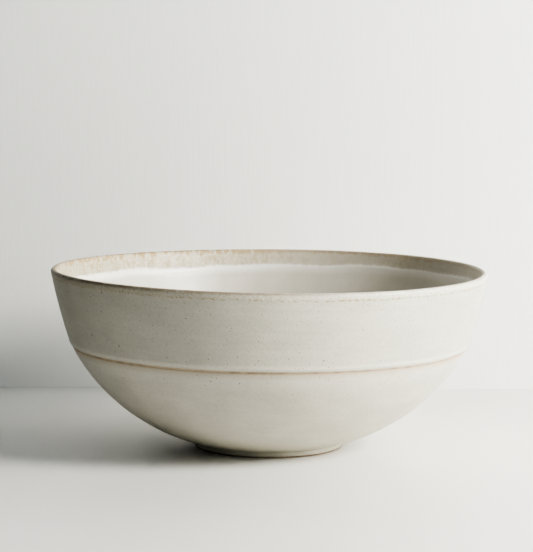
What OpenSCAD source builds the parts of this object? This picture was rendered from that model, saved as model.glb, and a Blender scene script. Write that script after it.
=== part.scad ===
// Footed serving bowl: a thrown stoneware bowl with a flaring upper wall,
// a ridge where that wall meets the round belly, and a low foot ring.
// Each clay section and each coat of glaze is a solid of its own.
// Millimetres, +Z up, origin on the axis in the plane the foot stands on.

/* [Rim] */
// Diameter over the glazed rim
rim_d = 280; // [270:1:290]
// Height over the glazed rim
rim_z = 115; // [112:1:120]
// Thickness of the clay at the lip
lip_w = 3; // [2.6:0.2:3.6]

/* [Wall] */
// Diameter of the clay at the ridge
ridge_d = 253.4; // [250:0.2:256]
// Height of the ridge
ridge_z = 66.5; // [62:0.5:70]
// How far the upper wall stands proud of the belly at the ridge
ridge_step = 0.5; // [0.4:0.1:0.8]
// Thickness of the clay wall at the ridge
wall_w = 4.4; // [4:0.2:5]
// Outward bow of the upper wall between ridge and lip
wall_bow = 0.75; // [0.3:0.05:1]
// Outward bulge of the belly off its chord
belly_bow = 10.7; // [9.5:0.1:11.5]
// Width of the bare line left in the glaze under the ridge
bare_line = 1; // [0.6:0.1:1.6]

/* [Floor and foot] */
// Height of the clay floor inside
floor_z = 10; // [9:0.5:12]
// Radius of the flat middle of the floor
floor_r = 28; // [20:1:34]
// Outside diameter of the clay foot ring
foot_d = 95.2; // [88:0.2:98]
// Width of the foot ring
foot_w = 7; // [5.5:0.5:9]
// Height of the foot ring that shows under the belly
foot_z = 4.35; // [3.6:0.05:4.6]
// Depth of the recess inside the foot ring
well_z = 5; // [5:0.1:6]

/* [Glaze] */
// Thickness of a coat of glaze
glaze = 0.45; // [0.35:0.05:0.6]
// Depth below the rim that the rim glaze reaches inside
rim_glaze_in = 10.5; // [8:0.5:16]
// Depth below the rim that the rim glaze reaches outside
rim_glaze_out = 4.2; // [3.6:0.2:8]
// Height of bare clay left at the bottom of the foot ring
bare_foot = 0.9; // [0.8:0.1:1.2]

/* [Hidden] */
$fn = 180;

clay = [0.62, 0.49, 0.37];
cream = [0.84, 0.82, 0.77];
oatmeal = [0.80, 0.75, 0.67];
warm_grey = [0.79, 0.77, 0.73];

arc_n = 24;         // steps along a long arc
nose_n = 12;        // steps round the lip
corner_n = 5;       // steps round a small corner
edge_r = 0.9;       // softened edges of the foot ring
corner_r = 0.5;     // softened lower corner of the upper wall
lap_h = 3.5;        // height of the lap joint inside the wall
lap_w = 1.9;        // thickness of the belly's upstand in that joint
blend = 9;          // length over which the inside turns from belly to wall
crest_glaze = 0.3;  // glaze is thinner where it runs off the lip
feather = 0.12;     // thickness of a coat at an edge that stops on bare clay

// Arc from a to b that bulges by sag to the right of its chord,
// from share t0 to share t1 of its length.
function arc_between(a, b, sag, t0 = 0, t1 = 1, n = arc_n) =
    let (
        d = b - a,
        chord = norm(d),
        out = [d[1], -d[0]] / chord,
        r = (chord * chord / 4 + sag * sag) / (2 * sag),
        c = (a + b) / 2 - out * (r - sag),
        half = asin(chord / (2 * r)),
        mid = atan2(out[1], out[0])
    )
    [for (i = [0 : n]) let (t = t0 + (t1 - t0) * i / n, w = mid - half + 2 * half * t)
        c + r * [cos(w), sin(w)]];

// Arc about c from angle w0 to angle w1.
function arc_about(c, r, w0, w1, n) =
    [for (i = [0 : n]) let (w = w0 + (w1 - w0) * i / n) c + r * [cos(w), sin(w)]];

// Smooth turn from a to b about the corner c.
function turn(a, c, b, n) =
    [for (i = [0 : n]) let (t = i / n) a * (1 - t) * (1 - t) + c * 2 * t * (1 - t) + b * t * t];

function along(a, b, t) = a + (b - a) * t;
function unit(v) = v / norm(v);
function right_of(v) = [v[1], -v[0]];
function back_to_front(p) = [for (i = [len(p) - 1 : -1 : 0]) p[i]];

// Direction to the right of a path at its point i.
function side(p, i) =
    let (
        last = len(p) - 1,
        before = unit(p[max(i, 1)] - p[max(i, 1) - 1]),
        after = unit(p[min(i, last - 1) + 1] - p[min(i, last - 1)]),
        m = unit(right_of(before) + right_of(after))
    )
    m / (m * right_of(after));

// The surface of a coat laid on the right of a path.
function coat_face(p, thick) = [for (i = [0 : len(p) - 1]) p[i] + side(p, i) * thick[i]];

// Outside of the clay, from the foot up to the rim.
ridge_r = ridge_d / 2;
foot_r = foot_d / 2;
foot_corner = [foot_r, foot_z];
ridge = [ridge_r, ridge_z];
wall_foot = [ridge_r + ridge_step, ridge_z + corner_r];
nose_r = lip_w / 2;
nose = [rim_d / 2 - glaze - nose_r, rim_z - crest_glaze - nose_r];
wall_lean = atan2(nose[0] - wall_foot[0], nose[1] - wall_foot[1]);
wall_turn = 2 * atan(2 * wall_bow / norm(nose - wall_foot));
nose_w0 = wall_turn - wall_lean;
wall_top = nose + nose_r * [cos(nose_w0), sin(nose_w0)];
out_share = 1 - (rim_glaze_out - (rim_z - wall_top[1])) / (wall_top[1] - wall_foot[1]);
belly_share = 1 - bare_line / norm(ridge - foot_corner);
belly_out = arc_between(foot_corner, ridge, belly_bow, 0, belly_share);
wall_out = arc_between(wall_foot, wall_top, wall_bow, 0, out_share);
rim_out = arc_between(wall_foot, wall_top, wall_bow, out_share, 1, 4);

// Inside of the clay, from the axis up to the rim.
nose_w1 = 180 - wall_lean;
lip_in = nose + nose_r * [cos(nose_w1), sin(nose_w1)];
elbow = [ridge_r - wall_w, ridge_z];
in_r = (pow(elbow[0] - floor_r, 2) + pow(elbow[1] - floor_z, 2)) / (2 * (elbow[1] - floor_z));
in_c = [floor_r, floor_z + in_r];
elbow_w = atan2(elbow[1] - in_c[1], elbow[0] - in_c[0]);
belly_in = arc_about(in_c, in_r, -90, elbow_w - asin(blend / in_r), arc_n);
turn_top = elbow + unit(lip_in - elbow) * blend;
lap_top = ridge_z + lap_h;
turn_in = [for (p = turn(belly_in[arc_n], elbow, turn_top, 8)) if (p != belly_in[arc_n]) p];
turn_low = [for (p = turn_in) if (p[1] < lap_top) p];
turn_high = [for (p = turn_in) if (p[1] > lap_top) p];
lap_in = let (a = turn_low[len(turn_low) - 1], b = turn_high[0])
    along(a, b, (lap_top - a[1]) / (b[1] - a[1]));
rim_in = along(lip_in, turn_top, (rim_glaze_in - (rim_z - lip_in[1])) / (lip_in[1] - turn_top[1]));
lip_round = arc_about(nose, nose_r, nose_w0, nose_w1, nose_n);

// The lap joint in the thickness of the wall.
lap_low = [elbow[0] + lap_w, ridge_z];
lap_high = [lap_in[0] + lap_w, lap_top];

module turned(outline) {
    rotate_extrude() polygon(outline);
}

// Floor and round belly, up to the ridge, with the upstand that the wall sits over.
module belly() {
    color(clay) turned(concat(
        [[0, well_z], [foot_r, well_z]],
        belly_out,
        [ridge, lap_low, lap_high, lap_in],
        back_to_front(turn_low),
        back_to_front(belly_in),
        [[0, floor_z]]
    ));
}

// Flaring wall from the ridge to the lip, rebated to sit over the belly's upstand.
module upper_wall() {
    corner = wall_foot - [corner_r, 0];
    color(clay) turned(concat(
        [lap_low],
        arc_about(corner, corner_r, -90, -wall_lean, corner_n),
        wall_out,
        rim_out,
        lip_round,
        [rim_in, turn_top],
        back_to_front(turn_high),
        [lap_in, lap_high]
    ));
}

// Foot ring let into the underside of the belly, with softened edges.
module foot_ring() {
    well_r = foot_r - foot_w;
    color(clay) turned(concat(
        arc_about([well_r + edge_r, edge_r], edge_r, 180, 270, corner_n),
        arc_about([foot_r - edge_r, edge_r], edge_r, -90, 0, corner_n),
        [[foot_r, well_z], [well_r, well_z]]
    ));
}

// A coat of glaze on the right of a path, thick[i] millimetres at its point i.
module coat(path, thick) {
    turned(concat(path, back_to_front(coat_face(path, thick))));
}

// Thickness along n points: glaze everywhere, other values at the two ends.
function even(n, first = glaze, last = glaze) =
    [for (i = [0 : n - 1]) i == 0 ? first : i == n - 1 ? last : glaze];

// Liner glaze over the floor and up the inside, as far as the rim glaze.
module inner_glaze() {
    path = concat([rim_in], back_to_front(turn_in), back_to_front(belly_in));
    floor_edge = path[len(path) - 1];
    face = coat_face(path, even(len(path)));
    color(warm_grey) turned(concat(
        path,
        [[0, floor_z], [0, floor_z + glaze]],
        [floor_edge + [0, glaze]],
        back_to_front([for (i = [0 : len(face) - 2]) face[i]])
    ));
}

// Rim glaze: over the lip, further down the inside than the outside.
module rim_glaze() {
    path = concat(rim_out, lip_round, [rim_in]);
    last = len(path) - 1;
    thick = [for (i = [0 : last])
        glaze - (glaze - crest_glaze) * pow(max(0, unit(side(path, i))[1]), 2)];
    color(oatmeal) coat(path, thick);
}

// Glaze on the outside of the upper wall, down to the bare line at the ridge.
module wall_glaze() {
    color(cream) coat(wall_out, even(len(wall_out), feather));
}

// Glaze on the outside of the belly and of the foot ring.
module belly_glaze() {
    foot_side = [[foot_r, bare_foot], [foot_r, along([0, bare_foot], [0, foot_z], 0.5)[1]]];
    path = concat(foot_side, belly_out);
    color(cream) coat(path, even(len(path), feather, feather));
}

// Glaze on the ceiling of the recess inside the foot ring.
module foot_well_glaze() {
    color(warm_grey) translate([0, 0, well_z - glaze])
        cylinder(h = glaze, r = foot_r - foot_w);
}

belly();
upper_wall();
foot_ring();
inner_glaze();
rim_glaze();
wall_glaze();
belly_glaze();
foot_well_glaze();
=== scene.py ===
import math

import bmesh
import bpy
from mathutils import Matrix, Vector, noise


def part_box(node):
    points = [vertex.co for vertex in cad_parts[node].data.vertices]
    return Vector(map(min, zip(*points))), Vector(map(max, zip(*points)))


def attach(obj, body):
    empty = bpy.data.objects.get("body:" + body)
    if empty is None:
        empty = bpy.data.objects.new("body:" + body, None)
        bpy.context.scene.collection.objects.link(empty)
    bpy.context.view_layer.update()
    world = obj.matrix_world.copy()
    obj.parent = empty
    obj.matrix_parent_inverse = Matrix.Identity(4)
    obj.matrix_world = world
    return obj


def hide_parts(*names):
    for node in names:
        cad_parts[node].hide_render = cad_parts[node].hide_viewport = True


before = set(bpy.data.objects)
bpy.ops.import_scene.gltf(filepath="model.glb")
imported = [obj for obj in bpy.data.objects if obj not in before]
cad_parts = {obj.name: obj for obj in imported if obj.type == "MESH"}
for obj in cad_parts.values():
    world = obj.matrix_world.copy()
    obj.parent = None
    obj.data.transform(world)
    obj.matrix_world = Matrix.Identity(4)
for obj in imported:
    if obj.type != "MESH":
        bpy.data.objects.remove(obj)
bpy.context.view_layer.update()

bl_info = {
    "name": "Footed serving bowl",
    "version": (1, 0, 0),
    "blender": (4, 5, 0),
    "location": "View3D > Sidebar > Bowl",
    "description": "Builds a thrown stoneware serving bowl and a plain studio round it",
    "category": "Object",
}

MM = 0.001
BODY = "root"
CLAY_NODES = ("belly", "upper_wall", "foot_ring")
RIM_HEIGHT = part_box("rim_glaze")[1].z
WALL_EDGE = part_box("wall_glaze")[0].z
BELLY_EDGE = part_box("belly_glaze")[1].z
FOOT_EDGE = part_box("belly_glaze")[0].z
FLOOR_LEVEL = -0.05 * MM
SAME_POINT = 0.02 * MM
STUDIO_REACH = 4.0
FLAG_LENGTH = 1.0
SHARP_EDGE = math.radians(38)
OUTLINE_BEND = math.radians(24)
GLAZE_BUMP = 0.10 * MM
CLAY_BUMP = 0.12 * MM
BRUSH_MARK = 2.2 * MM
# Each light: degrees right of the camera, degrees above the floor, distance, width, height
LIGHTS = {
    "key": (58, 30, 1.2, 0.33, 0.33),
    "fill": (62, 20, 1.2, 0.50, 0.40),
    "side": (80, 16, 1.2, 0.55, 0.30),
    "low": (70, 8, 2.0, 0.60, 0.25),
}
# How each backdrop board is turned: at the left, in front and at the right of the bowl
BACKDROP_SIDES = (math.pi / 2, math.pi, -math.pi / 2)
# Each wave in the edge of the rim zone: times round the bowl, start in degrees, height in mm
ZONE_WAVES = ((1, -50, 1.6), (4, 20, 0.3), (9, 130, 0.5), (15, 75, 0.3), (26, 10, 0.15))


def colour(name, description, default):
    """A colour property with a picker."""
    return bpy.props.FloatVectorProperty(
        name=name, description=description, default=default,
        subtype="COLOR", size=3, min=0.0, max=1.0)


def length(name, description, default):
    """A length property, in metres."""
    return bpy.props.FloatProperty(
        name=name, description=description, default=default,
        subtype="DISTANCE", unit="LENGTH", precision=5)


def angle(name, description, degrees):
    """An angle property, its default given in degrees."""
    return bpy.props.FloatProperty(
        name=name, description=description, default=math.radians(degrees), subtype="ANGLE")


def power(name, description, default):
    """The power of a light, in watts."""
    return bpy.props.FloatProperty(
        name=name, description=description, default=default, unit="POWER")


class BowlShape(bpy.types.PropertyGroup):
    """How the turned surfaces stray from a perfect outline."""

    around: bpy.props.IntProperty(
        name="Steps around", description="Faces round the bowl", default=256, min=64)
    step: length("Step", "Spacing of the rings of faces on shown surfaces", 1.2 * MM)
    ring_depth: length("Throwing rings", "Depth of the potter's finger rings outside", 0.09 * MM)
    ring_depth_in: length("Rings inside", "Depth of the finger rings inside", 0.16 * MM)
    bead: length("Glaze bead", "Height of the roll of glaze above the ridge", 0.26 * MM)
    roll: length("Inner roll", "Height of the roll of glaze below the rim zone", 0.45 * MM)
    tilt_x: length("Tilt across", "How far the rim drops to the right", -0.85 * MM)
    tilt_y: length("Tilt along", "How far the rim rises to the back", 0.11 * MM)
    oval_x: length("Saddle", "Height of the rim's saddle shape", 0.22 * MM)
    oval_y: length("Turned saddle", "The same, turned by an eighth", 0.45 * MM)
    zone_depth: length("Rim zone", "Depth of the mottled zone inside the rim", 9.0 * MM)


class BowlColours(bpy.types.PropertyGroup):
    """Colours of the clay and of the glazes."""

    cream: colour("Outer glaze", "Main colour outside", (0.526, 0.503, 0.423))
    cloud: colour("Outer cloud", "Cloudy patches outside", (0.48, 0.457, 0.383))
    # this pale colour also paints the lit right of the outer lip, partly a painted highlight
    pale: colour("Thick glaze", "Where the glaze lies thick", (0.62, 0.60, 0.52))
    roll: colour("Rolled glaze", "The thick roll below the rim zone", (0.73, 0.72, 0.665))
    liner: colour("Liner glaze", "Main colour inside", (0.545, 0.515, 0.445))
    rim: colour("Rim glaze", "Ground of the zone inside the rim", (0.445, 0.403, 0.295))
    rim_thin: colour("Thin rim glaze", "The same where it is thinner", (0.46, 0.425, 0.35))
    # besides the streaks inside, this brown also paints shade over the shaded left of the outer
    # lip
    rivulet_and_shade: colour("Rivulets", "Streaks in the rim zone", (0.35, 0.285, 0.165))
    rust: colour("Rust", "Patches where the glaze thins inside the lip", (0.34, 0.235, 0.10))
    broken: colour("Breaking glaze", "Where the glaze thins over the lip", (0.24, 0.175, 0.11))
    foot: colour("Foot tint", "Greener grey low on the bowl", (0.41, 0.395, 0.29))
    clay: colour("Clay", "Bare clay", (0.43, 0.35, 0.25))
    clay_dark: colour("Toasted clay", "Darker bare clay", (0.12, 0.07, 0.035))
    speck_brown: colour("Brown specks", "Iron specks", (0.15, 0.095, 0.045))
    speck_dark: colour("Dark specks", "Darkest iron specks", (0.05, 0.042, 0.035))
    speck_ochre: colour("Ochre specks", "Yellow specks", (0.31, 0.24, 0.08))


class BowlStudio(bpy.types.PropertyGroup):
    """Floor, wall, light and camera."""

    floor: colour("Floor", "Painted floor", (0.80, 0.795, 0.765))
    wall: colour("Wall", "Painted wall", (0.80, 0.805, 0.78))
    lamp: colour("Lamp", "Colour of the lights", (1.0, 0.976, 0.927))
    flag: colour("Flag", "Dark card that keeps stray light off the left", (0.03, 0.03, 0.03))
    wall_distance: length("Wall distance", "From the bowl's axis to the wall", 0.231)
    key_power: power("Key light", "Power of the main light", 19.5)
    fill_power: power("Fill light", "Power of the broader light beside the key", 2.9)
    side_power: power("Side light", "Power of the light to the right", 8.0)
    low_power: power("Low light", "Power of the low light that reaches under the bowl", 7.0)
    backdrop: colour("Backdrop", "Boards that only the camera sees", (0.85, 0.85, 0.835))
    backdrop_distance: length("Backdrop distance", "From the bowl's axis to the boards", 0.9)
    flag_distance: length("Flag distance", "From the bowl's axis to the dark card", 0.33)
    flag_height: length("Flag height", "Height of the dark card on the left", 0.8)
    air: colour("Air", "Colour of the light from all round", (0.52, 0.74, 1.0))
    ambient: bpy.props.FloatProperty(
        name="Ambient", description="Strength of the light from all round", default=0.17)
    lens: bpy.props.FloatProperty(
        name="Lens", description="Focal length", default=132.5, unit="CAMERA")
    camera_height: length("Camera height", "Height of the camera", 0.2465)
    camera_distance: length("Camera distance", "From the bowl's axis to the camera", 1.3026)
    camera_side: length("Camera offset", "Camera's place to the side", -1.67 * MM)
    camera_pitch: angle("Pitch", "How far the camera looks down", 5.976)
    camera_roll: angle("Roll", "How far the camera leans", 0.27)


# Shader maths


class Value:
    """A number in a material: sums on it add Math nodes."""

    def __init__(self, finish, socket):
        self.finish = finish
        self.socket = socket

    def maths(self, operation, *others):
        inputs = dict(enumerate((self,) + others))
        return self.finish.value("ShaderNodeMath", {"operation": operation}, inputs)

    def __add__(self, other):
        return self.maths("ADD", other)

    __radd__ = __add__

    def __mul__(self, other):
        return self.maths("MULTIPLY", other)

    __rmul__ = __mul__

    def __sub__(self, other):
        return self.maths("SUBTRACT", other)

    def __rsub__(self, other):
        settings = {"operation": "SUBTRACT"}
        return self.finish.value("ShaderNodeMath", settings, {0: other, 1: self})

    def __truediv__(self, other):
        return self.maths("DIVIDE", other)

    def __pow__(self, other):
        return self.maths("POWER", other)

    def clamp(self):
        settings = {"operation": "MINIMUM", "use_clamp": True}
        return self.finish.value("ShaderNodeMath", settings, {0: self, 1: 1.0})

    def magnitude(self):
        return self.maths("ABSOLUTE")

    def over(self, low, high):
        """0 below low, 1 above high, and a smooth rise between."""
        return self.finish.value(
            "ShaderNodeMapRange", {"interpolation_type": "SMOOTHSTEP"},
            {"Value": self, "From Min": low, "From Max": high})

    def near(self, middle, width):
        """1 at middle, falling smoothly to 0 at width to either side."""
        return 1.0 - (self - middle).magnitude().over(0.0, width)


class Finish:
    """A material being built."""

    def __init__(self, name):
        self.material = bpy.data.materials.new(name)
        self.material.use_nodes = True
        self.tree = self.material.node_tree
        self.tree.nodes.clear()

    def node(self, kind, settings=None, inputs=None):
        """Adds a node: its settings first, then the values or links of its sockets."""
        made = self.tree.nodes.new(kind)
        for name, value in (settings or {}).items():
            setattr(made, name, value)
        for key, value in (inputs or {}).items():
            source = getattr(value, "socket", value)
            if isinstance(source, bpy.types.NodeSocket):
                self.tree.links.new(source, made.inputs[key])
            elif hasattr(made.inputs[key].default_value, "__len__"):
                spare = len(made.inputs[key].default_value) - len(source)
                made.inputs[key].default_value = tuple(source) + (1.0,) * spare
            else:
                made.inputs[key].default_value = source
        return made

    def value(self, kind, settings=None, inputs=None, output=0):
        """Adds a node and returns one of its outputs."""
        return Value(self, self.node(kind, settings, inputs).outputs[output])

    def mix(self, share, first, second):
        """Colour between first and second."""
        return self.value(
            "ShaderNodeMix", {"data_type": "RGBA"}, {0: share, 6: first, 7: second}, 2)

    def shade(self, tint, amount):
        """A colour made lighter or darker by a number about 1."""
        return self.value(
            "ShaderNodeVectorMath", {"operation": "SCALE"}, {0: tint, "Scale": amount})

    def place(self, stretch=(1.0, 1.0, 1.0)):
        """Point on the object, stretched along its axes."""
        where = self.value("ShaderNodeTexCoord", None, None, "Object")
        settings = {"operation": "MULTIPLY"}
        return self.value("ShaderNodeVectorMath", settings, {0: where, 1: stretch})

    def parts(self, vector):
        """The three numbers of a vector or colour."""
        node = self.node("ShaderNodeSeparateXYZ", None, {0: vector})
        return [Value(self, socket) for socket in node.outputs]

    def grain(self, size, detail=2.0, stretch=(1.0, 1.0, 1.0), twist=0.0, shift=(0.0, 0.0, 0.0)):
        """Soft noise about 0.5 whose lumps are size metres across."""
        where = self.value(
            "ShaderNodeVectorMath", {"operation": "ADD"}, {0: self.place(stretch), 1: shift})
        return self.value(
            "ShaderNodeTexNoise", None,
            {"Vector": where, "Scale": 1.0 / size, "Detail": detail, "Distortion": twist})

    def cells(self, size, shift=(0.0, 0.0, 0.0)):
        """Distance to the nearest of many scattered points, in cells, and three dice for it."""
        where = self.value(
            "ShaderNodeVectorMath", {"operation": "ADD"}, {0: self.place(), 1: shift})
        node = self.node(
            "ShaderNodeTexVoronoi", None, {"Vector": where, "Scale": 1.0 / size})
        return Value(self, node.outputs["Distance"]), self.parts(node.outputs["Color"])

    def surface(self, tint, roughness, height, depth, one_sided=False):
        """Ends the material with a shader: tint and roughness, and bumps of a given depth."""
        bump = self.value(
            "ShaderNodeBump", None, {"Strength": 1.0, "Distance": depth, "Height": height})
        shader = self.node("ShaderNodeBsdfPrincipled", None, {
            "Base Color": tint, "Roughness": roughness, "Normal": bump}).outputs[0]
        return self.close(shader, one_sided)

    def close(self, shader, one_sided):
        """Puts a shader on the surface, or only on its front."""
        if one_sided:
            behind = self.value("ShaderNodeNewGeometry", None, None, "Backfacing")
            clear = self.node("ShaderNodeBsdfTransparent").outputs[0]
            shader = self.node(
                "ShaderNodeMixShader", None, {0: behind, 1: shader, 2: clear}).outputs[0]
        self.node("ShaderNodeOutputMaterial", None, {"Surface": shader})
        return self.material


def facing(finish, around):
    """From -1 to 1: how far a point lies to one side, an angle from the right-hand side."""
    x, y, _ = finish.parts(finish.place())
    reach = x * math.cos(around) + y * math.sin(around)
    return reach / (x * x + y * y) ** 0.5


def flat_place(finish, shape):
    """Radius and height on the bowl, with its slight warp taken out again."""
    x, y, z = finish.parts(finish.place())
    radius = (x * x + y * y) ** 0.5
    cos = x / radius
    sin = y / radius
    lift = (cos * shape.tilt_x + sin * shape.tilt_y
            + (2.0 * cos * cos - 1.0) * shape.oval_x + 2.0 * sin * cos * shape.oval_y)
    height = z / (lift / RIM_HEIGHT + 1.0)
    return radius, height


def specked(finish, tint, colours, density):
    """Lays fine iron specks on a colour, more of them where density is near 1."""
    fine, fine_dice = finish.cells(2.0 * MM)
    fine_size = fine_dice[0] * 0.12 + 0.13
    fine_mask = (1.0 - (fine / fine_size).over(0.5, 1.0)) * density
    kind = fine_dice[1].over(0.5, 0.55)
    fine_tint = finish.mix(kind, colours.speck_brown, colours.speck_ochre)
    tint = finish.mix(fine_mask * (fine_dice[2] * 0.65 + 0.2), tint, fine_tint)
    large, large_dice = finish.cells(6.0 * MM, (0.31, 0.17, 0.05))
    large_size = large_dice[0] * 0.05 + 0.045
    large_mask = (1.0 - (large / large_size).over(0.6, 1.0)) * density
    kind = large_dice[1].over(0.6, 0.65)
    large_tint = finish.mix(kind, colours.speck_dark, colours.speck_brown)
    tint = finish.mix(large_mask * 0.9, tint, large_tint)
    return tint, fine_mask


def outer_look(finish, shape, colours):
    """Colour, roughness and bump of the speckled glaze outside."""
    height = flat_place(finish, shape)[1]
    # share facing the lights on the right: below it sets painted light and shade on the lip, and
    # the spread of the ochre dots
    right = facing(finish, 0.0).over(-0.75, 0.35)
    clouds = finish.grain(22 * MM, 3.0, (1.0, 1.0, 1.6))
    tint = finish.mix(clouds.over(0.35, 0.65) * 0.8, colours.cream, colours.cloud)
    lines = finish.grain(2.6 * MM, 2.0, (0.10, 0.10, 1.0))
    mottle = finish.grain(1.2 * MM, 2.0)
    soft = finish.grain(3.0 * MM, 2.0)

    # stippled glaze under the lip, paler to the right and browner to the left: partly the
    # glaze's own stipple, partly painted light on the lit right and painted shade on the shaded
    # left
    edge = RIM_HEIGHT - 4.2 * MM + (finish.grain(9 * MM) - 0.5) * (1.6 * MM)
    lip = (height - edge).over(-0.6 * MM, 0.5 * MM)
    stipple = finish.grain(1.2 * MM, 2.0).over(0.44, 0.58)
    tint = finish.mix(lip * right * (1.0 - stipple * 0.7), tint, colours.pale)
    tint = finish.mix(lip * (0.5 - right * 0.32) * stipple, tint, colours.rivulet_and_shade)
    # painted shade: a thin brown wash over the shaded left of the lip
    tint = finish.mix(lip * (1.0 - right) * 0.15, tint, colours.rivulet_and_shade)
    dots = (height - edge).near(-0.3 * MM, 1.0 * MM) * finish.grain(1.5 * MM).over(0.48, 0.57)
    tint = finish.mix(dots * (right * 0.4 + 0.5), tint, colours.speck_ochre)

    # thick bead above the ridge, soft pale zone below it, tan stain next to the bare line
    above = height - WALL_EDGE
    below = BELLY_EDGE - height
    bead = above.near(2.2 * MM, 1.9 * MM)
    veil = below.over(1.5 * MM, 4.5 * MM) * (1.0 - below.over(6.0 * MM, 13.0 * MM))
    tint = finish.mix((bead * 0.6).clamp(), tint, colours.pale)
    tint = finish.mix((veil * 0.3).clamp(), tint, colours.pale)

    # greener and greyer towards the foot
    low = 1.0 - height.over(3.0 * MM, 24.0 * MM)
    tint = finish.mix(low * 0.5, tint, colours.foot)

    upper = height.over(WALL_EDGE, WALL_EDGE + 8.0 * MM)
    value = 1.0 + (lines - 0.5) * 0.10 + (mottle - 0.5) * 0.24 + (soft - 0.5) * 0.07
    value = value - upper * 0.04
    tint = finish.shade(tint, value)
    density = height.over(20 * MM, 75 * MM) * 0.6 + 0.4
    tint, specks = specked(finish, tint, colours, density)

    # glaze thins to brown where it stops at the bare line and at the foot
    ragged = (finish.grain(1.6 * MM) - 0.5) * (0.9 * MM)
    thin_above = 1.0 - (above + ragged).over(0.0 * MM, 0.6 * MM)
    thin_below = 1.0 - (below + ragged).over(0.0 * MM, 1.5 * MM)
    stain = 1.0 - below.over(0.2 * MM, 4.5 * MM)
    on_wall = (height - (WALL_EDGE + BELLY_EDGE) / 2).over(-0.1 * MM, 0.1 * MM)
    thin = thin_above * on_wall + (thin_below + stain * 0.72) * (1.0 - on_wall)
    tint = finish.mix((thin * 0.55).clamp(), tint, colours.clay)
    thin_foot = 1.0 - (height + ragged * 0.4).over(FOOT_EDGE, FOOT_EDGE + 0.7 * MM)
    tint = finish.mix(thin_foot * 0.8, tint, colours.clay_dark)

    roughness = 0.46 + (soft - 0.5) * 0.2 + specks * 0.15 - bead * 0.06
    bumps = mottle * 0.55 + lines * 0.8 + soft * 0.6
    return tint, roughness, bumps


def zone_edge(shape, around, sine):
    """Depth of the rim zone at an angle round the bowl: for plain numbers or in a material."""
    depth = shape.zone_depth
    for times, start, height in ZONE_WAVES:
        depth = depth + sine(around * times + math.radians(start)) * (height * MM)
    return depth


def inner_look(finish, shape, colours):
    """Colour, roughness and bump of the liner glaze and of the mottled zone above it."""
    height = flat_place(finish, shape)[1]
    depth = RIM_HEIGHT - height
    left = facing(finish, math.radians(150)).over(0.25, 0.95)
    clouds = finish.grain(26 * MM, 3.0)
    mottle = finish.grain(0.9 * MM, 2.0)
    soft = finish.grain(3.4 * MM, 2.0)
    drops = finish.grain(5 * MM, 2.0, (1.0, 1.0, 0.12))
    tint = finish.mix(clouds.over(0.3, 0.7) * 0.5, colours.liner, colours.cloud)

    # wavy edge, with a roll of thick white glaze hanging below it
    x, y, _ = finish.parts(finish.place())
    edge = zone_edge(shape, y.maths("ARCTAN2", x), lambda wave: wave.maths("SINE"))
    past = depth - edge + (mottle - 0.5) * (left * 1.6 + 1.0) * MM + (soft - 0.5) * (1.6 * MM)
    zone = 1.0 - past.over(-0.9 * MM, 0.9 * MM)
    roll = past.over(-0.3 * MM, 1.0 * MM) * (1.0 - past.over(2.4 * MM, 7.0 * MM))
    tint = finish.mix((roll * (left * 0.4 + 0.6)).clamp(), tint, colours.roll)

    # rivulets: dense at the lip and again just above the edge
    ground = finish.mix(left, colours.rim_thin, colours.rim)
    curds = finish.grain(1.7 * MM, 2.0, (1.0, 1.0, 0.7), 0.8)
    ground = finish.shade(ground, 1.0 + (curds.over(0.36, 0.64) - 0.5) * (left * 0.16 + 0.06))
    streaks = finish.grain(2.6 * MM, 3.0, (1.0, 1.0, 0.5), 1.6)
    patches = finish.grain(9 * MM, 2.0, (1.0, 1.0, 0.6))
    belt = past.over(-8.0 * MM, -5.0 * MM) * (1.0 - past.over(-1.2 * MM, 0.4 * MM))
    amount = (belt * 0.8 + 0.2) * patches.over(0.40, 0.56) * (left * 0.7 + 0.3)
    ground = finish.mix(streaks.over(0.45, 0.58) * amount, ground, colours.rivulet_and_shade)

    # rust where the glaze has run thin just inside the lip, with pale drips through it
    drips = finish.grain(2.4 * MM, 2.0, (1.0, 1.0, 0.16), 0.5)
    runs = finish.grain(3.6 * MM, 2.0, (1.0, 1.0, 0.16))
    gaps = (runs + (1.0 - left) * 0.16).over(0.47, 0.52)
    reach = (drips * 6.0 + left * 0.4 - 0.4) * MM
    rust = (1.0 - (depth - reach).over(-1.0 * MM, 0.6 * MM)) * gaps * (left * 0.57 + 0.36)
    ground = finish.mix(rust.clamp(), ground, colours.rust)
    tint = finish.mix(zone, tint, ground)
    value = 1.0 + (mottle - 0.5) * 0.09 + (soft - 0.5) * 0.06 + (drops - 0.5) * 0.07
    tint = finish.shade(tint, value)

    roughness = 0.40 + (soft - 0.5) * 0.18 + zone * 0.08 - roll * 0.06
    bumps = mottle * 0.4 + soft * 0.6 + streaks * zone * 0.9
    return tint, roughness, bumps


def broken_lip(finish, shape, colours, tint):
    """Browns a colour where the glaze thins over the lip, least to the front right, where the
    lip is kept paler, partly as a painted highlight of the lights.
    """
    height = flat_place(finish, shape)[1]
    # painted highlight, in part: less brown towards the front right, where the lights fall on
    # the lip
    amount = 1.0 - facing(finish, math.radians(-15)).over(0.1, 0.75) * 0.8
    amount = amount * (1.0 - facing(finish, math.radians(125)).over(0.5, 0.9) * 0.75)
    patches = finish.grain(6 * MM, 2.0, (1.0, 1.0, 0.3)).over(0.34, 0.56)
    ragged = (finish.grain(1.6 * MM) - 0.5) * (0.9 * MM)
    crest = (height + ragged).over(RIM_HEIGHT - 2.3 * MM, RIM_HEIGHT - 0.5 * MM)
    return finish.mix(crest * (patches * 0.4 + 0.35) * amount, tint, colours.broken)


def outer_glaze_finish(shape, colours):
    """Speckled glaze of the wall and the belly."""
    finish = Finish("speckled glaze")
    tint, roughness, bumps = outer_look(finish, shape, colours)
    return finish.surface(tint, roughness, bumps, GLAZE_BUMP)


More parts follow.
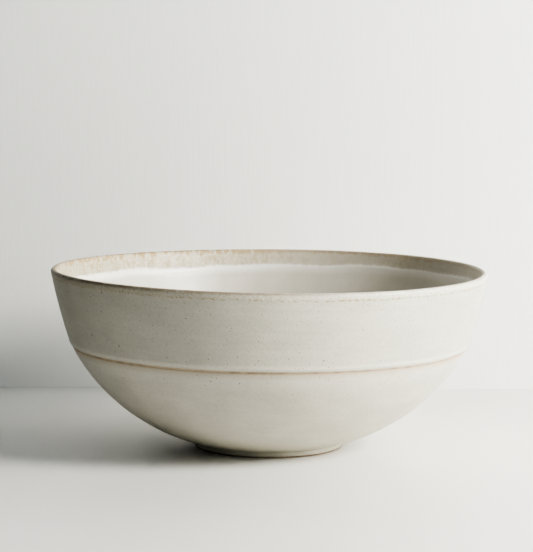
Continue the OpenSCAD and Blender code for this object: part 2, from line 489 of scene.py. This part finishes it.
def inner_glaze_finish(shape, colours):
    """Smooth liner glaze."""
    finish = Finish("liner glaze")
    tint, roughness, bumps = inner_look(finish, shape, colours)
    return finish.surface(tint, roughness, bumps, GLAZE_BUMP)


def rim_glaze_finish(shape, colours):
    """Speckled outside, mottled inside, brown over the lip between them."""
    finish = Finish("rim glaze")
    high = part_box("rim_glaze")[1]
    thin_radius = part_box("wall_glaze")[1].x
    radius, height = flat_place(finish, shape)
    lean = (high.x - thin_radius) / (high.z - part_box("wall_glaze")[1].z)
    middle = (height - high.z) * lean + (high.x - 2.0 * MM)
    inside = 1.0 - (radius - middle).over(-0.35 * MM, 0.35 * MM)
    outer = outer_look(finish, shape, colours)
    inner = inner_look(finish, shape, colours)
    tint = finish.mix(inside, outer[0], inner[0])
    tint = broken_lip(finish, shape, colours, tint)
    roughness = outer[1] * (1.0 - inside) + inner[1] * inside
    bumps = outer[2] * (1.0 - inside) + inner[2] * inside
    return finish.surface(tint, roughness, bumps, GLAZE_BUMP)


def clay_finish(colours):
    """Bare stoneware: gritty and toasted unevenly."""
    finish = Finish("bare clay")
    height = finish.parts(finish.place())[2]
    toast = finish.grain(7 * MM, 3.0)
    grit = finish.grain(0.5 * MM, 3.0)
    low = 1.0 - height.over(1.0 * MM, 6.0 * MM)
    share = (toast.over(0.4, 0.7) * 0.35 + low * 0.55).clamp()
    tint = finish.mix(share, colours.clay, colours.clay_dark)
    tint = finish.shade(tint, 1.0 + (grit - 0.5) * 0.4)
    return finish.surface(tint, 0.78 + (grit - 0.5) * 0.2, grit, CLAY_BUMP)


def well_finish(colours):
    """Glaze in the recess under the bowl: pooled and greener."""
    finish = Finish("foot well glaze")
    clouds = finish.grain(14 * MM, 3.0)
    soft = finish.grain(2.5 * MM, 2.0)
    tint = finish.mix(clouds.over(0.35, 0.65) * 0.6, colours.cream, colours.foot)
    tint = finish.shade(tint, 1.0 + (soft - 0.5) * 0.12)
    tint = specked(finish, tint, colours, 0.7)[0]
    return finish.surface(tint, 0.42 + (soft - 0.5) * 0.2, soft, CLAY_BUMP)


def paint_finish(name, tint, along, roughness, one_sided=False):
    """Brushed paint, its marks running along one axis; one-sided paint is clear from behind."""
    finish = Finish(name)
    marks = finish.grain(BRUSH_MARK, 4.0, along)
    clouds = finish.grain(120 * MM, 3.0)
    value = 1.0 + (marks - 0.5) * 0.035 + (clouds - 0.5) * 0.05
    shaded = finish.shade(tint, value)
    rough = roughness + (marks - 0.5) * 0.2
    return finish.surface(shaded, rough, marks, GLAZE_BUMP, one_sided)


# Turned surfaces


def corners(node):
    """The corners of a turned node's outline, as a list of links between them."""
    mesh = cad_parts[node].data
    points = []
    which = []
    for vertex in mesh.vertices:
        spot = Vector((math.hypot(vertex.co.x, vertex.co.y), vertex.co.z))
        found = next((i for i, p in enumerate(points) if (p - spot).length < SAME_POINT), None)
        if found is None:
            found = len(points)
            points.append(spot)
        which.append(found)
    links = {i: set() for i in range(len(points))}
    for edge in mesh.edges:
        a, b = (which[v] for v in edge.vertices)
        if a != b:
            links[a].add(b)
            links[b].add(a)
    return points, links


def outline(node):
    """A turned node's outline in order, and whether it closes without meeting the axis."""
    points, links = corners(node)
    if any(len(near) > 2 for near in links.values()):
        raise RuntimeError(f"the outline of {node} branches")
    ends = [i for i, near in links.items() if len(near) == 1]
    at = ends[0] if ends else 0
    order = [at]
    while len(order) < len(points):
        at = next(i for i in sorted(links[at]) if i not in order)
        order.append(at)
    path = [points[i] for i in order]
    if ends:
        path = [Vector((0.0, path[0].y))] + path + [Vector((0.0, path[-1].y))]
    turn = sum(a.x * b.y - b.x * a.y for a, b in zip(path, path[1:] + path[:1]))
    if turn < 0:
        path.reverse()
    return path, not ends


def curve_point(before, a, b, after, t):
    """Point at share t between a and b on a smooth curve through four points."""
    m0 = (b - before) / 2
    m1 = (after - a) / 2
    span = (b - a).length
    m0 = m0 * min(1.0, 1.5 * span / max(m0.length, 1e-9))
    m1 = m1 * min(1.0, 1.5 * span / max(m1.length, 1e-9))
    t2 = t * t
    t3 = t2 * t
    return (a * (2 * t3 - 3 * t2 + 1) + m0 * (t3 - 2 * t2 + t)
            + b * (3 * t2 - 2 * t3) + m1 * (t3 - t2))


def is_bend(path, i):
    """Whether an outline turns sharply at a point."""
    a = path[i] - path[i - 1]
    b = path[(i + 1) % len(path)] - path[i]
    return a.angle(b, 0.0) > OUTLINE_BEND


def refined(path, shown, closed, step):
    """Outline with more points along its shown stretches, and the mark of each point."""
    count = len(path)
    fine = []
    for i in range(count):
        j = (i + 1) % count
        fine.append((path[i], shown[i]))
        if not closed and j == 0:
            break
        if not (shown[i] and shown[j]):
            continue
        a, b = path[i], path[j]
        pieces = math.ceil((b - a).length / step)
        before = a * 2 - b if is_bend(path, i) else path[i - 1]
        after = b * 2 - a if is_bend(path, j) else path[(j + 1) % count]
        for k in range(1, pieces):
            fine.append((curve_point(before, a, b, after, k / pieces), True))
    return fine


def ripple(x, y, height, size, shift):
    """Smooth noise from -1 to 1 on the turned surface, in lumps of size metres by height."""
    return noise.noise(Vector((x / size[0] + shift, y / size[0], height / size[1])))


def rise(value, low, high):
    """0 below low, 1 above high, and a smooth rise between, for plain numbers."""
    t = min(1.0, max(0.0, (value - low) / (high - low)))
    return t * t * (3 - 2 * t)


def relief(shape, cos, sin, spot, outward):
    """How far the surface stands off its outline at a point, in metres."""
    x, y, height = cos * spot.x, sin * spot.x, spot.y
    if outward >= 0:
        rings = ripple(x, y, height, (0.16, 3.4 * MM), 3.0) * 1.2
        rings += ripple(x, y, height, (0.09, 9.0 * MM), 7.0)
        lift = rings * shape.ring_depth
        above = height - WALL_EDGE
        swell = math.exp(-((above - 2.0 * MM) / (1.1 * MM)) ** 2) if above > 0 else 0.0
        lift += swell * shape.bead * (1 + 0.5 * ripple(x, y, 0, (0.02, 1.0), 1.0))
        lift += rise(height, RIM_HEIGHT - 4.6 * MM, RIM_HEIGHT - 3.4 * MM) * 0.1 * MM
        edge = min(abs(above), abs(height - BELLY_EDGE), height - FOOT_EDGE)
        lift *= rise(edge, 0.0, 1.5 * MM)
    else:
        rings = ripple(x, y, height, (0.2, 7.0 * MM), 5.0)
        lift = rings * shape.ring_depth_in
        past = RIM_HEIGHT - height - zone_edge(shape, math.atan2(sin, cos), math.sin)
        swell = math.exp(-((past - 2.0 * MM) / (1.7 * MM)) ** 2)
        lift += swell * shape.roll
        lift *= rise(height, 6 * MM, 12 * MM)
    side = rise(abs(outward), 0.1, 0.7)
    chatter = ripple(x, y, 0, (0.03, 1.0), 4.0) * 0.08 * MM
    return lift * side + chatter * (1 - side) * rise(height, RIM_HEIGHT / 2, RIM_HEIGHT)


def warp(shape, cos, sin, height):
    """How far the handmade bowl is lifted at a height and a direction."""
    lift = cos * shape.tilt_x + sin * shape.tilt_y
    lift += (2 * cos * cos - 1) * shape.oval_x + 2 * sin * cos * shape.oval_y
    return height / RIM_HEIGHT * lift


def turned(name, node, shape, backing):
    """A finely turned copy of a CAD node; points that its backing nodes share stay on them."""
    path, closed = outline(node)
    hidden = [p for other in backing for p in outline(other)[0]]
    shown = [not any((p - q).length < SAME_POINT for q in hidden) for p in path]
    fine = refined(path, shown, closed, shape.step)
    count = len(fine)
    bm = bmesh.new()
    rings = []
    for i, (spot, mark) in enumerate(fine):
        before = fine[i - 1] if i or closed else fine[i]
        after = fine[(i + 1) % count] if i + 1 < count or closed else fine[i]
        back = before[0] if before[1] or not mark else spot
        ahead = after[0] if after[1] or not mark else spot
        run = (ahead - back).normalized()
        out = Vector((run.y, -run.x))
        on_axis = spot.x < SAME_POINT
        ring = []
        for k in range(1 if on_axis else shape.around):
            angle = 2 * math.pi * k / shape.around
            cos, sin = math.cos(angle), math.sin(angle)
            lift = relief(shape, cos, sin, spot, out.x) if mark else 0.0
            place = spot + out * lift
            height = place.y + warp(shape, cos, sin, place.y)
            ring.append(bm.verts.new((cos * place.x, sin * place.x, height)))
        rings.append(ring)
    for i in range(count if closed else count - 1):
        a, b = rings[i], rings[(i + 1) % count]
        for k in range(shape.around):
            n = (k + 1) % shape.around
            loop = [a[k % len(a)], a[n % len(a)], b[n % len(b)], b[k % len(b)]]
            face = bm.faces.new(list(dict.fromkeys(loop)))
            face.smooth = True
    bmesh.ops.recalc_face_normals(bm, faces=bm.faces)
    mesh = bpy.data.meshes.new(name)
    bm.to_mesh(mesh)
    bm.free()
    mesh.set_sharp_from_angle(angle=SHARP_EDGE)
    piece = bpy.data.objects.new(name, mesh)
    bpy.context.scene.collection.objects.link(piece)
    return piece


def settle(piece, node, material):
    """Finishes a piece and puts it in its node's place."""
    piece.data.materials.append(material)
    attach(piece, BODY)
    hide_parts(node)


# Operators


class BOWL_OT_clay(bpy.types.Operator):
    """Turn the belly, the upper wall and the foot ring in bare clay"""

    bl_idname = "bowl.clay"
    bl_label = "Clay"

    def execute(self, context):
        shape = context.scene.bowl_shape
        material = clay_finish(context.scene.bowl_colours)
        others = ("inner_glaze", "rim_glaze", "wall_glaze", "belly_glaze", "foot_well_glaze")
        for node in CLAY_NODES:
            backing = others + tuple(n for n in CLAY_NODES if n != node)
            piece = turned(node + "_clay", node, shape, backing)
            settle(piece, node, material)
        return {"FINISHED"}


class BOWL_OT_outer_glaze(bpy.types.Operator):
    """Coat the outside with speckled glaze, above and below the bare line"""

    bl_idname = "bowl.outer_glaze"
    bl_label = "Outer glaze"

    def execute(self, context):
        shape = context.scene.bowl_shape
        material = outer_glaze_finish(shape, context.scene.bowl_colours)
        for node in ("wall_glaze", "belly_glaze"):
            piece = turned("speckled_" + node, node, shape, CLAY_NODES)
            settle(piece, node, material)
        return {"FINISHED"}


class BOWL_OT_rim_glaze(bpy.types.Operator):
    """Coat the lip and the mottled zone under it"""

    bl_idname = "bowl.rim_glaze"
    bl_label = "Rim glaze"

    def execute(self, context):
        shape = context.scene.bowl_shape
        material = rim_glaze_finish(shape, context.scene.bowl_colours)
        piece = turned("mottled_rim_glaze", "rim_glaze", shape, CLAY_NODES)
        settle(piece, "rim_glaze", material)
        return {"FINISHED"}


class BOWL_OT_inner_glaze(bpy.types.Operator):
    """Coat the inside with liner glaze"""

    bl_idname = "bowl.inner_glaze"
    bl_label = "Inner glaze"

    def execute(self, context):
        shape = context.scene.bowl_shape
        material = inner_glaze_finish(shape, context.scene.bowl_colours)
        piece = turned("smooth_inner_glaze", "inner_glaze", shape, CLAY_NODES)
        settle(piece, "inner_glaze", material)
        return {"FINISHED"}


class BOWL_OT_foot_well(bpy.types.Operator):
    """Coat the recess inside the foot ring"""

    bl_idname = "bowl.foot_well"
    bl_label = "Foot well glaze"

    def execute(self, context):
        shape = context.scene.bowl_shape
        material = well_finish(context.scene.bowl_colours)
        piece = turned("pooled_foot_well_glaze", "foot_well_glaze", shape, CLAY_NODES)
        settle(piece, "foot_well_glaze", material)
        return {"FINISHED"}


def backdrop_finish(tint):
    """An evenly lit backdrop that is clear from behind."""
    finish = Finish("backdrop")
    shader = finish.node("ShaderNodeEmission", None, {"Color": tint}).outputs[0]
    return finish.close(shader, True)


def board(name, corners_in_order, material):
    """A flat board of the studio."""
    bm = bmesh.new()
    bm.faces.new([bm.verts.new(corner) for corner in corners_in_order])
    mesh = bpy.data.meshes.new(name)
    bm.to_mesh(mesh)
    bm.free()
    mesh.materials.append(material)
    piece = bpy.data.objects.new(name, mesh)
    bpy.context.scene.collection.objects.link(piece)
    return piece


def soft_light(name, watts, tint):
    """A soft light that points at the bowl."""
    around, above, distance, width, height = LIGHTS[name]
    around, above = math.radians(around), math.radians(above)
    light = bpy.data.lights.new(name + "_light", "AREA")
    light.shape = "RECTANGLE"
    light.size = width
    light.size_y = height
    light.energy = watts
    light.color = tint
    lamp = bpy.data.objects.new(name + "_light", light)
    bpy.context.scene.collection.objects.link(lamp)
    level = distance * math.cos(above)
    lamp.location = (
        level * math.sin(around), -level * math.cos(around), distance * math.sin(above))
    direction = Vector((0.0, 0.0, RIM_HEIGHT / 2)) - lamp.location
    lamp.rotation_euler = direction.to_track_quat("-Z", "Y").to_euler()


class BOWL_OT_studio(bpy.types.Operator):
    """Set the floor, the wall, the light and the camera"""

    bl_idname = "bowl.studio"
    bl_label = "Studio"

    def execute(self, context):
        scene = context.scene
        studio = scene.bowl_studio
        reach = STUDIO_REACH
        back = studio.wall_distance
        floor = paint_finish("floor paint", studio.floor, (0.08, 1.0, 1.0), 0.42)
        board("studio_floor", [
            (-reach, -reach, FLOOR_LEVEL), (reach, -reach, FLOOR_LEVEL),
            (reach, reach, FLOOR_LEVEL), (-reach, reach, FLOOR_LEVEL)], floor)
        wall = paint_finish("wall paint", studio.wall, (1.0, 1.0, 0.05), 0.55, True)
        board("studio_wall", [
            (-reach, back, FLOOR_LEVEL), (reach, back, FLOOR_LEVEL),
            (reach, back, reach), (-reach, back, reach)], wall)
        side = -studio.flag_distance
        top = studio.flag_height
        cloth = paint_finish("flag cloth", studio.flag, (1.0, 1.0, 1.0), 0.9, True)
        flag = board("studio_flag", [
            (side, back - FLAG_LENGTH, FLOOR_LEVEL), (side, back, FLOOR_LEVEL),
            (side, back, top), (side, back - FLAG_LENGTH, top)], cloth)
        flag.visible_camera = False
        pale = backdrop_finish(studio.backdrop)
        far = studio.backdrop_distance
        for turn in BACKDROP_SIDES:
            across = Vector((math.cos(turn), math.sin(turn), 0.0)) * reach
            out = Vector((-math.sin(turn), math.cos(turn), 0.0)) * far
            up = Vector((0.0, 0.0, reach))
            backdrop = board(
                "studio_backdrop",
                [out - across, out + across, out + across + up, out - across + up], pale)
            for ray in ("diffuse", "glossy", "transmission", "shadow"):
                setattr(backdrop, "visible_" + ray, False)

        for name in LIGHTS:
            soft_light(name, getattr(studio, name + "_power"), studio.lamp)

        world = bpy.data.worlds.new("studio air")
        world.use_nodes = True
        air = world.node_tree.nodes["Background"]
        air.inputs["Color"].default_value = (*studio.air, 1.0)
        air.inputs["Strength"].default_value = studio.ambient
        scene.world = world
        scene.view_settings.view_transform = "AgX"
        scene.view_settings.look = "AgX - High Contrast"

        lens = bpy.data.cameras.new("camera")
        lens.lens = studio.lens
        camera = bpy.data.objects.new("camera", lens)
        scene.collection.objects.link(camera)
        camera.location = (studio.camera_side, -studio.camera_distance, studio.camera_height)
        camera.rotation_mode = "XYZ"
        look = Vector((0.0, math.cos(studio.camera_pitch), -math.sin(studio.camera_pitch)))
        turn = look.to_track_quat("-Z", "Y")
        camera.rotation_euler = turn.to_euler()
        camera.rotation_euler.rotate_axis("Z", studio.camera_roll)
        scene.camera = camera
        return {"FINISHED"}


class BOWL_PT_panel(bpy.types.Panel):
    """The bowl's steps and settings"""

    bl_idname = "BOWL_PT_panel"
    bl_label = "Serving bowl"
    bl_space_type = "VIEW_3D"
    bl_region_type = "UI"
    bl_category = "Bowl"

    def draw(self, context):
        for operator in OPERATORS:
            self.layout.operator(operator.bl_idname)
        for group in ("bowl_shape", "bowl_colours", "bowl_studio"):
            settings = getattr(context.scene, group)
            column = self.layout.column()
            for name in settings.__annotations__:
                column.prop(settings, name)


GROUPS = (BowlShape, BowlColours, BowlStudio)
OPERATORS = (
    BOWL_OT_clay, BOWL_OT_outer_glaze, BOWL_OT_rim_glaze, BOWL_OT_inner_glaze,
    BOWL_OT_foot_well, BOWL_OT_studio)
CLASSES = GROUPS + OPERATORS + (BOWL_PT_panel,)


def register():
    for cls in CLASSES:
        bpy.utils.register_class(cls)
    bpy.types.Scene.bowl_shape = bpy.props.PointerProperty(type=BowlShape)
    bpy.types.Scene.bowl_colours = bpy.props.PointerProperty(type=BowlColours)
    bpy.types.Scene.bowl_studio = bpy.props.PointerProperty(type=BowlStudio)


def unregister():
    del bpy.types.Scene.bowl_studio
    del bpy.types.Scene.bowl_colours
    del bpy.types.Scene.bowl_shape
    for cls in reversed(CLASSES):
        bpy.utils.unregister_class(cls)


def main():
    register()
    bpy.ops.bowl.studio()
    bpy.ops.bowl.clay()
    bpy.ops.bowl.outer_glaze()
    bpy.ops.bowl.rim_glaze()
    bpy.ops.bowl.inner_glaze()
    bpy.ops.bowl.foot_well()


if __name__ == "__main__":
    main()
